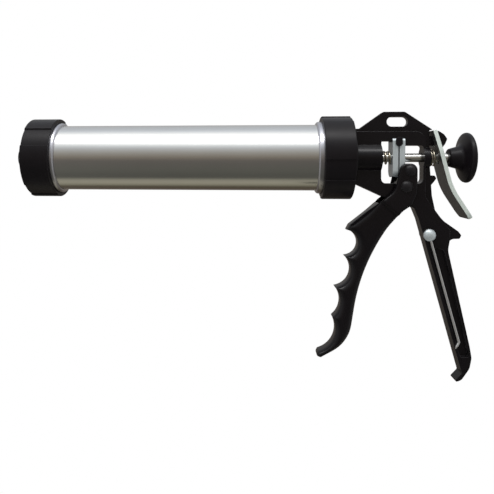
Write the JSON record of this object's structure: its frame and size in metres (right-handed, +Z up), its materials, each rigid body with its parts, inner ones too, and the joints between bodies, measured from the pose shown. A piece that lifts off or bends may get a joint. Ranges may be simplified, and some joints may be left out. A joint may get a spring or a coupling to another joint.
{
  "type": "caulking gun",
  "caption": "Hand sealant gun with a closed aluminium barrel, black screw caps, a bright push rod with round knob, a cast pistol frame, finger-grooved trigger and thumb release.",
  "frame": {"origin": "centre of the nozzle outlet, at the mouth of the threaded neck", "axes": "+X along the barrel from the nozzle to the knob, +Z up (handle points to -Z), +Y the gun's right side seen from behind, so the piercing wire is on -Y"},
  "size_m": [0.366, 0.0666, 0.2131],
  "materials": {
    "black_cast": "satin black paint on cast aluminium, slightly pebbled",
    "black_rivet": "blackened steel, semi-gloss",
    "black_plastic": "satin moulded nylon",
    "barrel_aluminium": "satin drawn tube, fine lines along the barrel",
    "ferrule_aluminium": "bright turned",
    "zinc_steel": "bright zinc plate",
    "bright_wire": "polished spring wire",
    "lever_steel": "dull zinc plate",
    "rod_steel": "bright drawn rod",
    "spring_wire": "bright coiled wire",
    "bush_brass": "sintered bronze",
    "seal_rubber": "matte"
  },
  "bodies": {
    "frame": {"frame_casting": "black_cast", "rod_guide_bush": "bush_brass", "pivot_rivet": "black_rivet", "pierce_rivet": "zinc_steel", "barrel_tube": "barrel_aluminium", "front_ferrule": "ferrule_aluminium", "rear_ferrule": "ferrule_aluminium", "barrel_gasket": "seal_rubber", "rear_collar": "black_plastic", "drive_spring": "spring_wire", "release_spring": "spring_wire"},
    "trigger": {"trigger_lever": "black_cast", "push_pin": "black_rivet", "push_roller": "zinc_steel"},
    "drive": {"drive_plate_front": "zinc_steel", "drive_plate_rear": "zinc_steel", "plate_spacer": "black_plastic"},
    "rod": {"piston_rod": "rod_steel", "piston_nut": "zinc_steel", "piston_washer": "zinc_steel", "piston_cup": "seal_rubber", "piston_backing_plate": "zinc_steel", "piston_jam_nut": "zinc_steel", "rod_knob": "black_plastic"},
    "release": {"release_lever": "lever_steel"},
    "wire": {"pierce_wire": "bright_wire"},
    "nozzle": {"nozzle_adapter": "black_plastic", "adapter_gasket": "seal_rubber"},
    "cap": {"front_cap": "black_plastic"}
  },
  "joints": [
    {"name": "trigger_hinge", "type": "hinge", "parent": "frame", "child": "trigger", "pos_m": [0.314, 0, -0.0226], "axis": [0, -1, 0], "range_deg": [0, 35], "stiffness_Nm_per_rad": 0.25, "springref_deg": -17.19},
    {"name": "drive_slide", "type": "slide", "parent": "frame", "child": "drive", "axis": [-1, 0, 0], "range_m": [0, 0.0078], "deforming": ["drive_spring"]},
    {"name": "rod_slide", "type": "slide", "parent": "frame", "child": "rod", "axis": [1, 0, 0], "range_m": [0, 0.212]},
    {"name": "release_hinge", "type": "hinge", "parent": "frame", "child": "release", "pos_m": [0.33675, 0, 0.0172], "axis": [0, 1, 0], "range_deg": [0, 8], "stiffness_Nm_per_rad": 0.3, "springref_deg": -11.46, "deforming": ["release_spring"]},
    {"name": "pierce_hinge", "type": "hinge", "parent": "frame", "child": "wire", "pos_m": [0.3327, -0.0065, -0.0608], "axis": [0, -1, 0], "range_deg": [0, 85]},
    {"name": "nozzle_slide", "type": "slide", "parent": "frame", "child": "nozzle", "axis": [-1, 0, 0], "range_m": [0, 0.0121]},
    {"name": "cap_turn", "type": "hinge", "parent": "nozzle", "child": "cap", "pos_m": [0.0227, 0, 0], "axis": [-1, 0, 0], "range_deg": [0, 1080]}
  ],
  "couplings": [
    {"joint": "drive_slide", "follows": "trigger_hinge", "m_per_rad": 0.01275},
    {"joint": "nozzle_slide", "follows": "cap_turn", "m_per_rad": 0.00063662}
  ]
}
